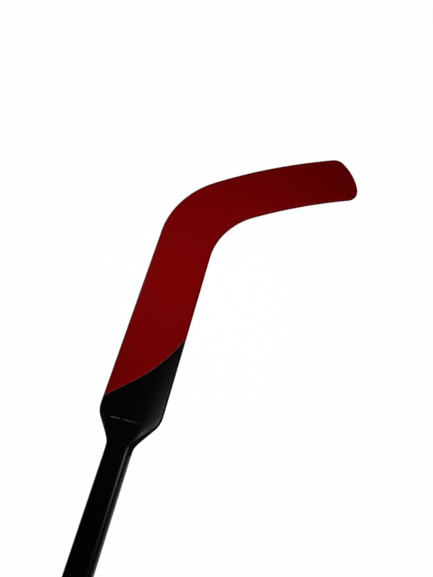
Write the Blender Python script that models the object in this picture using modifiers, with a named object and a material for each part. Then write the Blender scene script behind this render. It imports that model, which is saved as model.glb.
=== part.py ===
"""Youth ice hockey goalie stick, lying on its back, front face up.

The stick is a laminate. A hollow shaft takes the tenon of a long spar, and the spar, foam cores and
blocks lie between a front and a back skin, with strips along the edges. The upper skins are black
and the lower ones red, with a narrow inlaid stripe where they meet.

Frame: metres. +X points from the trailing edge of the paddle to the toe, +Y from the butt to the
heel, +Z out of the front face. The origin is on the middle of the shaft's flat back, just before
the neck. In plan the stick is described by ribs, lines across it from its trailing edge to its
leading edge.
"""

import math

import bmesh
import bpy
from mathutils import Vector

# Shaft
SHAFT_WIDTH = 0.032
SHAFT_THICKNESS = 0.020
SHAFT_CORNER = 0.0045
SHAFT_WALL = 0.002
BUTT_Y = -0.580
NECK_Y = 0.018
TENON_LENGTH = 0.120
TENON_CHAMFER = 0.0024

# Butt cap
CAP_FLANGE = 0.006
CAP_SPIGOT = 0.030
CAP_ROUNDING = 0.0015

# Paddle in plan
PADDLE_WIDTH = 0.088
NECK_RADIUS = 0.015
SHOULDER_RADIUS = 0.030
SHOULDER_ANGLE = math.radians(40)
SHOULDER_CORNER_Y = 0.0647
PADDLE_STRAIGHT_Y = 0.300

# Heel and blade in plan
HEEL_START_Y = 0.349
HEEL_RADIUS = 0.1124
HEEL_TURN = math.radians(62.6)
ELBOW_START_Y = 0.316
ELBOW_RADIUS = 0.0851
ELBOW_TURN = math.radians(65.5)
SOLE_RADIUS = 0.5764
SOLE_TURN = math.radians(18.8)
TOP_EDGE_RADIUS = 0.5506
TOP_EDGE_TURN = math.radians(14.77)
TOE_SOLE_RADIUS = 0.0184
TOE_SOLE_TURN = math.radians(62.3)
TOE_TOP_RADIUS = 0.0133
TOE_TOP_TURN = math.radians(89.5)
TOE_BULGE = 0.0036

# Thickness across and along the stick
PADDLE_EDGE = 0.008
HEEL_CREST = 0.011
TOE_CREST = 0.0078
TOE_EDGE = 0.0068
EDGE_CORNER = 0.0009
CORNER_EASED_Y = 0.052
EDGE_EASED_Y = 0.060

# Blade curl, towards the front face
CURL_START_X = 0.030
CURL_END_X = 0.240
CURL_RISE = 0.008

# Laminate
SKIN = 0.0015
STRIP_WIDTH = 0.004
BLADE_SPAR_WIDTH = 0.012
TOE_BLOCK_RIBS = 2
GAP = 0.0003

# Colour break, a curve across the paddle that rises from the trailing to the leading edge
BREAK_TRAILING_Y = 0.0831
BREAK_START_ANGLE = math.radians(35.8)
BREAK_LIFT = 0.0327
BREAK_POWER = 4.7
STRIPE_WIDTH = 0.0010

# Steps along each stretch of the outline
NECK_STEPS = 4
RAMP_STEPS = 2
SHOULDER_STEPS = 5
PADDLE_STEPS = 4
ENTRY_STEPS = 2
HEEL_STEPS = 12
BLADE_STEPS = 8
TOE_STEPS = 5
SKIN_COLUMNS = (0.86, 0.72, 0.56, 0.40, 0.20)
FULL_COLUMNS = 9
CORNER_STEPS = 4

HALF_SHAFT = SHAFT_WIDTH / 2
HALF_PADDLE = PADDLE_WIDTH / 2
MID_PLANE = SHAFT_THICKNESS / 2
CREST_HALF = HALF_SHAFT - SHAFT_CORNER
CORE_DEPTH = SKIN + GAP
SPAR_HALF = HALF_SHAFT - SHAFT_WALL - GAP
CORE_START = SPAR_HALF + GAP

BLACK_PAINT = ("black_paint", (0.001, 0.001, 0.0012), 0.35, 0.0)
BLACK_PLASTIC = ("black_plastic", (0.006, 0.006, 0.007), 0.55, 0.0)
RED_PAINT = ("red_paint", (0.15, 0.0006, 0.001), 0.42, 0.0)
RED_PLASTIC = ("red_plastic", (0.15, 0.0006, 0.001), 0.40, 0.0)
STRIPE_PAINT = ("stripe_paint", (0.034, 0.033, 0.038), 0.45, 0.0)
SPRUCE = ("spruce", (0.55, 0.38, 0.20), 0.70, 0.0)
BIRCH = ("birch", (0.62, 0.46, 0.28), 0.65, 0.0)
FOAM = ("rigid_foam", (0.72, 0.68, 0.52), 0.90, 0.0)


def clear_scene():
    """Remove every object, so that the model starts from nothing."""
    for thing in list(bpy.data.objects):
        bpy.data.objects.remove(thing, do_unlink=True)


def new_collection(name):
    """A collection of that name, linked to the scene."""
    collection = bpy.data.collections.new(name)
    bpy.context.scene.collection.children.link(collection)
    return collection


def finish(kind):
    """The Principled material of a finish: its name, colour, roughness and metallic value."""
    name, colour, roughness, metallic = kind
    material = bpy.data.materials.get(name) or bpy.data.materials.new(name)
    material.use_nodes = True
    shader = material.node_tree.nodes["Principled BSDF"]
    shader.inputs["Base Color"].default_value = (*colour, 1.0)
    shader.inputs["Roughness"].default_value = roughness
    shader.inputs["Metallic"].default_value = metallic
    material.diffuse_color = (*colour, 1.0)
    return material


def smooth_round_faces(mesh):
    """Shade a mesh smooth, with its real edges kept sharp."""
    mesh.shade_smooth()
    mesh.set_sharp_from_angle(angle=math.radians(32))


def ease(value, start, end):
    """0 before start, 1 after end, and a smooth rise between them."""
    share = min(max((value - start) / (end - start), 0.0), 1.0)
    return share * share * (3 - 2 * share)


def mix(first, second, share):
    """The value that lies that share of the way from first to second."""
    return first + (second - first) * share


# Outline


def straight(length, steps):
    """A straight stretch of an edge: its length, its turn and its steps."""
    return length, 0.0, steps


def bend(radius, turn, steps):
    """A round stretch of an edge. A positive turn is to the left."""
    return radius * abs(turn), turn, steps


def walk(start, heading, stretches):
    """The points along an edge, and the index at which each stretch ends."""
    point = Vector(start)
    points = [point.copy()]
    ends = []
    for length, turn, steps in stretches:
        step_turn = turn / steps
        chord = length / steps
        if turn:
            chord *= math.sin(abs(step_turn) / 2) / (abs(step_turn) / 2)
        for _ in range(steps):
            heading += step_turn / 2
            point = point + chord * Vector((math.cos(heading), math.sin(heading)))
            heading += step_turn / 2
            points.append(point)
        ends.append(len(points) - 1)
    return points, ends


def shoulder_stretches(side):
    """The neck, ramp and shoulder of one edge. side is 1 for the leading edge and -1 for the trailing."""
    angle = SHOULDER_ANGLE
    neck_tangent = NECK_RADIUS * math.tan(angle / 2)
    shoulder_tangent = SHOULDER_RADIUS * math.tan(angle / 2)
    widening = HALF_PADDLE - HALF_SHAFT
    ramp_start_y = SHOULDER_CORNER_Y - widening / math.tan(angle)
    shoulder_end_y = SHOULDER_CORNER_Y + shoulder_tangent
    ramp = widening / math.sin(angle) - neck_tangent - shoulder_tangent
    return [
        straight(ramp_start_y - neck_tangent - NECK_Y, 1),
        bend(NECK_RADIUS, -side * angle, NECK_STEPS),
        straight(ramp, RAMP_STEPS),
        bend(SHOULDER_RADIUS, side * angle, SHOULDER_STEPS),
        straight(PADDLE_STRAIGHT_Y - shoulder_end_y, PADDLE_STEPS),
    ]


def trailing_edge():
    """The trailing edge of the paddle, the heel and the sole of the blade."""
    stretches = shoulder_stretches(-1)
    stretches.append(straight(HEEL_START_Y - PADDLE_STRAIGHT_Y, ENTRY_STEPS))
    stretches.append(bend(HEEL_RADIUS, -HEEL_TURN, HEEL_STEPS))
    stretches.append(bend(SOLE_RADIUS, -SOLE_TURN, BLADE_STEPS))
    stretches.append(bend(TOE_SOLE_RADIUS, -TOE_SOLE_TURN, TOE_STEPS))
    return walk((-HALF_SHAFT, NECK_Y), math.pi / 2, stretches)


def leading_edge():
    """The leading edge of the paddle, the elbow and the top edge of the blade."""
    stretches = shoulder_stretches(1)
    stretches.append(straight(ELBOW_START_Y - PADDLE_STRAIGHT_Y, ENTRY_STEPS))
    stretches.append(bend(ELBOW_RADIUS, -ELBOW_TURN, HEEL_STEPS))
    stretches.append(bend(TOP_EDGE_RADIUS, -TOP_EDGE_TURN, BLADE_STEPS))
    stretches.append(bend(TOE_TOP_RADIUS, TOE_TOP_TURN, TOE_STEPS))
    return walk((HALF_SHAFT, NECK_Y), math.pi / 2, stretches)


# Ribs


class Rib:
    """A line across the stick in plan, with the thickness of the stick there."""

    def __init__(self, trailing, leading, travel):
        self.middle = (trailing + leading) / 2
        self.half = (leading - trailing).length / 2
        self.across = (leading - trailing).normalized()
        self.ahead = Vector((-self.across.y, self.across.x))
        self.travel = travel
        self.crest = SHAFT_THICKNESS / 2
        self.edge = SHAFT_THICKNESS / 2
        self.corner = SHAFT_CORNER
        self.bulge = 0.0
        self.end_depth = 0.0

    def set_thickness(self, marks):
        """Take the crest, edge and corner from how far along the stick the rib lies."""
        paddle_crest = mix(SHAFT_THICKNESS, HEEL_CREST, ease(self.travel, marks["shoulder"], marks["blade"]))
        paddle_edge = mix(SHAFT_THICKNESS, PADDLE_EDGE, ease(self.travel, 0.0, EDGE_EASED_Y - NECK_Y))
        along_blade = ease(self.travel, marks["blade"], marks["toe"])
        self.crest = mix(paddle_crest, TOE_CREST, along_blade) / 2
        self.edge = mix(paddle_edge, TOE_EDGE, along_blade) / 2
        self.corner = mix(SHAFT_CORNER, EDGE_CORNER, ease(self.travel, 0.0, CORNER_EASED_Y - NECK_Y))

    def half_thickness(self, offset):
        """Half the thickness at an offset from the middle: a flat crest that falls away to the edges."""
        share = max((abs(offset) - CREST_HALF) / (self.half - CREST_HALF), 0.0)
        return mix(self.crest, self.edge, share * share)

    def inset(self, depth):
        """How far the rounded corner draws the edge in, at a depth below the face."""
        if depth >= self.corner:
            return 0.0
        return self.corner - math.sqrt(self.corner**2 - (self.corner - depth) ** 2)

    def point(self, offset, depth, side, shift=0.0):
        """A point at an offset from the middle and a depth below the front (side 1) or back (side -1) face."""
        bulge = self.bulge * (1 - (offset / self.half) ** 2)
        plan = self.middle + offset * self.across + (bulge + shift) * self.ahead
        bent = max((plan.x - CURL_START_X) / (CURL_END_X - CURL_START_X), 0.0)
        height = self.half_thickness(offset) - depth
        return Vector((plan.x, plan.y, MID_PLANE + CURL_RISE * bent**2 + side * height))


def paddle_rib(y, marks):
    """A rib straight across the paddle at that height."""
    rib = Rib(Vector((-HALF_PADDLE, y)), Vector((HALF_PADDLE, y)), y - NECK_Y)
    rib.set_thickness(marks)
    return rib


def make_ribs():
    """All ribs from the neck to the toe, with the indices and travels of the stretches' ends."""
    trailing, ends = trailing_edge()
    leading, _ = leading_edge()
    ribs = []
    travel = 0.0
    for left, right in zip(trailing, leading):
        if ribs:
            travel += ((left + right) / 2 - ribs[-1].middle).length
        ribs.append(Rib(left, right, travel))
    shoulder, paddle, blade, toe, tip = ends[3], ends[4], ends[6], ends[7], ends[8]
    marks = {"shoulder": ribs[shoulder].travel, "blade": ribs[blade].travel, "toe": ribs[tip].travel}
    for rib in ribs:
        rib.set_thickness(marks)
    tip_rib = ribs[tip]
    for index in range(toe, tip + 1):
        rib = ribs[index]
        rib.bulge = TOE_BULGE * ease(index, toe, tip)
        left_over = (tip_rib.point(0.0, 0.0, 1) - rib.point(0.0, 0.0, 1)).length
        if left_over < rib.corner:
            rib.end_depth = rib.corner - math.sqrt(rib.corner**2 - (rib.corner - left_over) ** 2)
    indices = {"shoulder": shoulder, "paddle": paddle, "blade": blade, "toe": toe, "tip": tip}
    return ribs, indices, marks


# Pieces made between ribs


def slab(name, rows, kind, collection):
    """A closed piece between a top and a bottom sheet. Each row holds pairs of a top and a bottom point."""
    mesh = bpy.data.meshes.new(name)
    shape = bmesh.new()
    top = [[shape.verts.new(pair[0]) for pair in row] for row in rows]
    bottom = [[shape.verts.new(pair[1]) for pair in row] for row in rows]
    last_row = len(rows) - 1
    last_column = len(rows[0]) - 1
    for i in range(last_row):
        for j in range(last_column):
            for sheet in (top, bottom):
                shape.faces.new((sheet[i][j], sheet[i][j + 1], sheet[i + 1][j + 1], sheet[i + 1][j]))
        for j in (0, last_column):
            shape.faces.new((top[i][j], top[i + 1][j], bottom[i + 1][j], bottom[i][j]))
    for j in range(last_column):
        for i in (0, last_row):
            shape.faces.new((top[i][j], top[i][j + 1], bottom[i][j + 1], bottom[i][j]))
    bmesh.ops.recalc_face_normals(shape, faces=shape.faces)
    shape.to_mesh(mesh)
    shape.free()
    smooth_round_faces(mesh)
    mesh.materials.append(finish(kind))
    piece = bpy.data.objects.new(name, mesh)
    collection.objects.link(piece)
    return piece


def shifted_ends(ribs, row_of):
    """One row for each rib, with the first and last drawn in by half a gap."""
    rows = []
    for index, rib in enumerate(ribs):
        shift = 0.0
        if index == 0:
            shift = GAP / 2
        if index == len(ribs) - 1:
            shift = -GAP / 2
        rows.append(row_of(rib, shift))
    return rows


def skin_offsets(rib):
    """Offsets and depths of a skin's outer sheet, and offsets of its inner sheet, from edge to edge."""
    rim_depths = (0.55 * SKIN, 0.2 * SKIN, 0.0)
    rim = [(rib.half - rib.inset(depth), depth) for depth in rim_depths]
    inner_edge = rib.half - rib.inset(SKIN)
    flat_half = rim[-1][0]
    inside = [flat_half * share for share in SKIN_COLUMNS]
    outer = rim + [(offset, 0.0) for offset in inside]
    inner = [inner_edge, rim[1][0], rim[2][0]] + inside
    mirrored_outer = [(-offset, depth) for offset, depth in outer]
    mirrored_inner = [-offset for offset in inner]
    return mirrored_outer + outer[::-1], mirrored_inner + inner[::-1]


def skin_row(rib, side, shift=0.0):
    """One row of a skin on the front (side 1) or back (side -1) of a rib."""
    outer, inner = skin_offsets(rib)
    row = []
    for (offset, depth), inner_offset in zip(outer, inner):
        outside = rib.point(offset, max(depth, rib.end_depth), side, shift)
        row.append((outside, rib.point(inner_offset, SKIN, side, shift)))
    return row


def break_y(x):
    """Where the colours meet, at a distance across the paddle."""
    run = max(x + HALF_PADDLE, 0.0)
    rise = math.tan(BREAK_START_ANGLE) * run
    return BREAK_TRAILING_Y + rise + BREAK_LIFT * (run / PADDLE_WIDTH) ** BREAK_POWER


def break_slope(x):
    """How steeply the colour break climbs there."""
    run = max(x + HALF_PADDLE, 0.0) / PADDLE_WIDTH
    steepening = BREAK_LIFT * BREAK_POWER * run ** (BREAK_POWER - 1) / PADDLE_WIDTH
    return math.tan(BREAK_START_ANGLE) + steepening


def break_row(side, distance, marks, far_y=0.0, share=0.0):
    """A row of a skin along the colour break, at a distance past it and a share of the way to far_y."""
    outer, inner = skin_offsets(paddle_rib(BREAK_TRAILING_Y, marks))
    row = []
    for (offset, depth), inner_offset in zip(outer, inner):
        pair = []
        for across, below in ((offset, depth), (inner_offset, SKIN)):
            y = break_y(across) + distance * math.hypot(1, break_slope(across))
            y = mix(y, far_y, share)
            pair.append(paddle_rib(y, marks).point(across, below, side))
        row.append(tuple(pair))
    return row


def core_row(rib, first, second, shift, columns=5):
    """One row of a core between two offsets, from skin to skin."""
    row = []
    for step in range(columns):
        offset = mix(first, second, step / (columns - 1))
        row.append((rib.point(offset, CORE_DEPTH, 1, shift), rib.point(offset, CORE_DEPTH, -1, shift)))
    return row


def edge_pairs(rib, sign, shift):
    """The outer wall of the middle layer on one edge: a corner pair, then the pair under the skins."""
    corner_depth = max(rib.corner, CORE_DEPTH + 0.0005)
    pairs = []
    for depth in (corner_depth, CORE_DEPTH):
        offset = sign * (rib.half - rib.inset(depth))
        pairs.append((rib.point(offset, depth, 1, shift), rib.point(offset, depth, -1, shift)))
    return pairs


def edge_row(rib, sign, inner_offset, shift, columns=1):
    """One row of a strip or cheek, from its outer wall to an inner offset."""
    pairs = edge_pairs(rib, sign, shift)
    outer_offset = rib.half - rib.inset(CORE_DEPTH)
    for step in range(1, columns + 1):
        offset = sign * mix(outer_offset, inner_offset, step / columns)
        pairs.append((rib.point(offset, CORE_DEPTH, 1, shift), rib.point(offset, CORE_DEPTH, -1, shift)))
    return pairs


def block_row(rib, shift):
    """One row of a block that fills the middle layer from edge to edge."""
    left = edge_pairs(rib, -1, shift)
    right = edge_pairs(rib, 1, shift)
    under_skin = rib.half - rib.inset(CORE_DEPTH)
    middle = core_row(rib, -under_skin, under_skin, shift, FULL_COLUMNS)
    return left + middle[1:-1] + right[::-1]


def make_skins(ribs, indices, marks, collection):
    """The black shoulder skins, the red skins below the colour break, and the stripes between them."""
    upper = ribs[: indices["shoulder"] + 1]
    lower = ribs[indices["paddle"] :]
    shoulder_end = upper[-1].middle.y
    past_break = STRIPE_WIDTH / 2 + GAP
    half_stripe = STRIPE_WIDTH / 2
    for face, side in (("front", 1), ("back", -1)):
        rows = [skin_row(rib, side, GAP / 2 if rib is upper[0] else 0.0) for rib in upper]
        rows += [break_row(side, -past_break, marks, shoulder_end, share) for share in (0.5, 0.0)]
        slab(f"{face}_shoulder_skin", rows, BLACK_PAINT, collection)
        shares = [step / PADDLE_STEPS for step in range(PADDLE_STEPS)]
        rows = [break_row(side, past_break, marks, PADDLE_STRAIGHT_Y, share) for share in shares]
        rows += [skin_row(rib, side) for rib in lower]
        slab(f"{face}_blade_skin", rows, RED_PAINT, collection)
        rows = [break_row(side, -half_stripe, marks), break_row(side, half_stripe, marks)]
        slab(f"{face}_pinstripe", rows, STRIPE_PAINT, collection)


def make_edges(ribs, indices, marks, collection):
    """The shoulder cheeks beside the spar and the strips that close the edges."""
    cheek_ribs = ribs[: indices["shoulder"] + 1] + [paddle_rib(BREAK_TRAILING_Y, marks)]
    strip_inner = STRIP_WIDTH
    for name, sign in (("leading", 1), ("trailing", -1)):
        rows = shifted_ends(cheek_ribs, lambda rib, shift, sign=sign: edge_row(rib, sign, CORE_START, shift, 4))
        slab(f"{name}_shoulder_cheek", rows, BLACK_PLASTIC, collection)

    def strip(name, sign, strip_ribs, kind):
        rows = shifted_ends(
            strip_ribs, lambda rib, shift: edge_row(rib, sign, rib.half - strip_inner, shift)
        )
        slab(name, rows, kind, collection)

    toe_start = indices["toe"] - TOE_BLOCK_RIBS
    break_top = break_y(HALF_PADDLE)
    low_ribs = ribs[indices["paddle"] : toe_start + 1]
    shares = [step / PADDLE_STEPS for step in range(PADDLE_STEPS)]
    strip(
        "leading_black_strip",
        1,
        [paddle_rib(BREAK_TRAILING_Y, marks), paddle_rib(break_top, marks)],
        BLACK_PLASTIC,
    )
    for name, sign, start_y in (("leading", 1, break_top), ("trailing", -1, BREAK_TRAILING_Y)):
        paddle_ribs = [paddle_rib(mix(start_y, PADDLE_STRAIGHT_Y, share), marks) for share in shares]
        strip(f"{name}_red_strip", sign, paddle_ribs + low_ribs, RED_PLASTIC)


def make_cores(ribs, indices, marks, collection):
    """The foam cores of the paddle, the heel block, the blade's spar and cores, and the toe block."""
    shares = [step / PADDLE_STEPS for step in range(PADDLE_STEPS + 1)]
    straight_ys = [mix(BREAK_TRAILING_Y, PADDLE_STRAIGHT_Y, share) for share in shares]
    straight_ribs = [paddle_rib(y, marks) for y in straight_ys]
    for name, sign in (("leading", 1), ("trailing", -1)):
        outer = HALF_PADDLE - STRIP_WIDTH - GAP
        rows = shifted_ends(
            straight_ribs, lambda rib, shift, sign=sign: core_row(rib, sign * CORE_START, sign * outer, shift)
        )
        slab(f"{name}_paddle_core", rows, FOAM, collection)

    def inner_half(rib):
        return rib.half - STRIP_WIDTH - GAP

    heel_ribs = ribs[indices["paddle"] : indices["blade"] + 1]
    rows = shifted_ends(
        heel_ribs,
        lambda rib, shift: core_row(rib, -inner_half(rib), inner_half(rib), shift, FULL_COLUMNS),
    )
    slab("heel_block", rows, BIRCH, collection)

    toe_start = indices["toe"] - TOE_BLOCK_RIBS
    blade_ribs = ribs[indices["blade"] : toe_start + 1]
    spar_half = BLADE_SPAR_WIDTH / 2
    rows = shifted_ends(blade_ribs, lambda rib, shift: core_row(rib, -spar_half, spar_half, shift))
    slab("blade_spar", rows, SPRUCE, collection)
    for name, sign in (("upper", 1), ("lower", -1)):
        rows = shifted_ends(
            blade_ribs,
            lambda rib, shift, sign=sign: core_row(
                rib, sign * (spar_half + GAP), sign * inner_half(rib), shift
            ),
        )
        slab(f"{name}_blade_core", rows, FOAM, collection)

    toe_ribs = ribs[toe_start:]
    rows = [block_row(rib, GAP / 2 if rib is toe_ribs[0] else 0.0) for rib in toe_ribs]
    slab("toe_block", rows, RED_PLASTIC, collection)


def make_spar(marks, collection):
    """The paddle spar, with its tenon in the shaft, up to the heel block."""
    tenon_half = SHAFT_THICKNESS / 2 - SHAFT_WALL - GAP
    tenon_depth = SHAFT_THICKNESS / 2 - tenon_half
    shallow = CORE_DEPTH
    rows = []
    stations = [
        (NECK_Y - TENON_LENGTH, tenon_depth),
        (NECK_Y + GAP / 2, tenon_depth),
        (NECK_Y + 0.002, shallow),
        (BREAK_TRAILING_Y, shallow),
    ]
    shares = [step / PADDLE_STEPS for step in range(1, PADDLE_STEPS)]
    stations += [(mix(BREAK_TRAILING_Y, PADDLE_STRAIGHT_Y, share), shallow) for share in shares]
    stations.append((PADDLE_STRAIGHT_Y - GAP / 2, shallow))
    for y, depth in stations:
        rib = paddle_rib(y, marks)
        row = []
        for offset, below in (
            (-SPAR_HALF, depth + TENON_CHAMFER),
            (-SPAR_HALF + TENON_CHAMFER, depth),
            (SPAR_HALF - TENON_CHAMFER, depth),
            (SPAR_HALF, depth + TENON_CHAMFER),
        ):
            row.append((rib.point(offset, below, 1), rib.point(offset, below, -1)))
        rows.append(row)
    slab("paddle_spar", rows, SPRUCE, collection)


# Pieces of the shaft


def rounded_rectangle(curve, width, height, radius):
    """Add a cyclic outline with round corners to a flat curve."""
    points = []
    for quarter, (sx, sy) in enumerate(((1, 1), (-1, 1), (-1, -1), (1, -1))):
        for step in range(CORNER_STEPS + 1):
            angle = (quarter + step / CORNER_STEPS) * math.pi / 2
            x = sx * (width / 2 - radius) + radius * math.cos(angle)
            y = sy * (height / 2 - radius) + radius * math.sin(angle)
            points.append((x, y))
    spline = curve.splines.new("POLY")
    spline.points.add(len(points) - 1)
    for target, (x, y) in zip(spline.points, points):
        target.co = (x, y, 0.0, 1.0)
    spline.use_cyclic_u = True


def shaft_bar(name, shrink, y_from, y_to, kind, collection, hole=None):
    """A bar with the shaft's outline drawn in by shrink, as a mesh, with a hole drawn in by hole."""
    curve = bpy.data.curves.new(name, "CURVE")
    curve.dimensions = "2D"
    curve.fill_mode = "BOTH"
    curve.extrude = (y_to - y_from) / 2
    for inward in (shrink, hole):
        if inward is not None:
            rounded_rectangle(
                curve,
                SHAFT_WIDTH - 2 * inward,
                SHAFT_THICKNESS - 2 * inward,
                max(SHAFT_CORNER - inward, GAP),
            )
    guide = bpy.data.objects.new(name + "_outline", curve)
    guide.rotation_euler = (-math.pi / 2, 0.0, 0.0)
    guide.location = (0.0, (y_from + y_to) / 2, MID_PLANE)
    collection.objects.link(guide)
    bpy.context.view_layer.update()
    evaluated = guide.evaluated_get(bpy.context.evaluated_depsgraph_get())
    mesh = bpy.data.meshes.new_from_object(evaluated)
    mesh.transform(guide.matrix_world)
    bpy.data.objects.remove(guide, do_unlink=True)
    welded = bmesh.new()
    welded.from_mesh(mesh)
    bmesh.ops.remove_doubles(welded, verts=welded.verts, dist=0.00001)
    bmesh.ops.recalc_face_normals(welded, faces=welded.faces)
    welded.to_mesh(mesh)
    welded.free()
    mesh.name = name
    mesh.materials.clear()
    mesh.materials.append(finish(kind))
    smooth_round_faces(mesh)
    piece = bpy.data.objects.new(name, mesh)
    collection.objects.link(piece)
    return piece


def make_shaft(collection, cutters):
    """The hollow shaft, its foam filling and the cap in its butt."""
    shaft_bar("shaft_tube", 0.0, BUTT_Y, NECK_Y - GAP / 2, BLACK_PAINT, collection, hole=SHAFT_WALL)
    inside = SHAFT_WALL + GAP
    spigot_end = BUTT_Y + CAP_SPIGOT
    foam_end = NECK_Y - TENON_LENGTH - GAP
    shaft_bar("shaft_foam", inside, spigot_end + GAP, foam_end, FOAM, collection)

    flange_y = BUTT_Y - GAP
    cap = shaft_bar("butt_cap", 0.0, flange_y - CAP_FLANGE, flange_y, BLACK_PLASTIC, collection)
    spigot_start = flange_y - CAP_FLANGE / 2
    spigot = shaft_bar("butt_cap_spigot", inside, spigot_start, spigot_end, BLACK_PLASTIC, cutters)
    spigot.hide_render = True
    spigot.display_type = "WIRE"
    rounding = cap.modifiers.new("rounded_rim", "BEVEL")
    rounding.width = CAP_ROUNDING
    rounding.segments = 2
    rounding.limit_method = "ANGLE"
    rounding.angle_limit = math.radians(60)
    joined = cap.modifiers.new("spigot", "BOOLEAN")
    joined.operation = "UNION"
    joined.solver = "EXACT"
    joined.object = spigot


def main():
    """Build the stick."""
    clear_scene()
    stick = new_collection("goalie_stick")
    cutters = new_collection("goalie_stick_cutters")
    ribs, indices, marks = make_ribs()
    make_shaft(stick, cutters)
    make_spar(marks, stick)
    make_cores(ribs, indices, marks, stick)
    make_edges(ribs, indices, marks, stick)
    make_skins(ribs, indices, marks, stick)


main()
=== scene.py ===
"""Dress a youth ice hockey goalie stick, lying on its back on a pale studio floor.

The lacquered surfaces are shells, each modelled as a row of rounded sections that are bridged.
Every section stands on a rib, a line across the stick from its trailing to its leading edge.
Sizes are in metres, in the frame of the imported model: +X to the toe, +Y to the heel, +Z up.
"""

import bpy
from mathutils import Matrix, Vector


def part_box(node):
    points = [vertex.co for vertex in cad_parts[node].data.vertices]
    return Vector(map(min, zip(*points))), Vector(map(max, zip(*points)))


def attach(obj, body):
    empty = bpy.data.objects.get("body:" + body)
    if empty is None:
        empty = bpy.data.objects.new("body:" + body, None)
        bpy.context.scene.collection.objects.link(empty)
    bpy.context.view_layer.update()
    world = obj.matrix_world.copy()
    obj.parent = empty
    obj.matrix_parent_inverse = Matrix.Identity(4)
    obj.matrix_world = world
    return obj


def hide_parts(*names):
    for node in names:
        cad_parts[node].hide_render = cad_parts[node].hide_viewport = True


bl_info = {
    "name": "Goalie Stick",
    "version": (1, 0, 0),
    "blender": (4, 5, 0),
    "location": "View3D > Sidebar > Goalie Stick",
    "description": "Models and finishes a youth ice hockey goalie stick in a white studio",
    "category": "Object",
}

import math

import bmesh
import bpy
from bpy.props import FloatProperty, FloatVectorProperty, PointerProperty
from mathutils import Matrix, Vector

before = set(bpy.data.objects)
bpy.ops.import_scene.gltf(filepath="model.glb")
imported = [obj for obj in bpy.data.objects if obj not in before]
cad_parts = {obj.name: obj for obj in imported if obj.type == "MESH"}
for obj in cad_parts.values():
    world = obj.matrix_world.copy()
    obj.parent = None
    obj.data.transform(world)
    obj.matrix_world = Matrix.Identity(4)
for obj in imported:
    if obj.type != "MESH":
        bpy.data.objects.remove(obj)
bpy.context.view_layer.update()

SHAFT_LOW, SHAFT_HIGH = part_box("shaft_tube")
CAP_LOW, CAP_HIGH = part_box("butt_cap")
SHOULDER_LOW, SHOULDER_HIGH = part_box("front_shoulder_skin")

# Added to each side of the shaft, so that its rendered edges fall nearer to the photograph's.
SHAFT_WIDENED = 0.0002

MID_PLANE = (SHAFT_LOW.z + SHAFT_HIGH.z) / 2
NECK_Y = SHOULDER_LOW.y
HALF_SHAFT = (SHAFT_HIGH.x - SHAFT_LOW.x) / 2 + SHAFT_WIDENED
HALF_PADDLE = (SHOULDER_HIGH.x - SHOULDER_LOW.x) / 2
SHAFT_THICKNESS = SHAFT_HIGH.z - SHAFT_LOW.z

LENGTH = {"subtype": "DISTANCE", "unit": "LENGTH"}
ANGLE = {"subtype": "ANGLE", "unit": "ROTATION"}
COLOUR = {"subtype": "COLOR", "size": 3, "min": 0.0, "max": 1.0}

# How far a point is pushed at a weight of 1.
SLANT_REACH = 0.110
CROWN_REACH = 0.010

# The share of half the edge's thickness that the rounding of a corner may take.
CORNER_LIMIT = 0.98
SMOOTH_ANGLE = math.radians(38)
WHITE = (1.0, 1.0, 1.0, 1.0)


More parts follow.
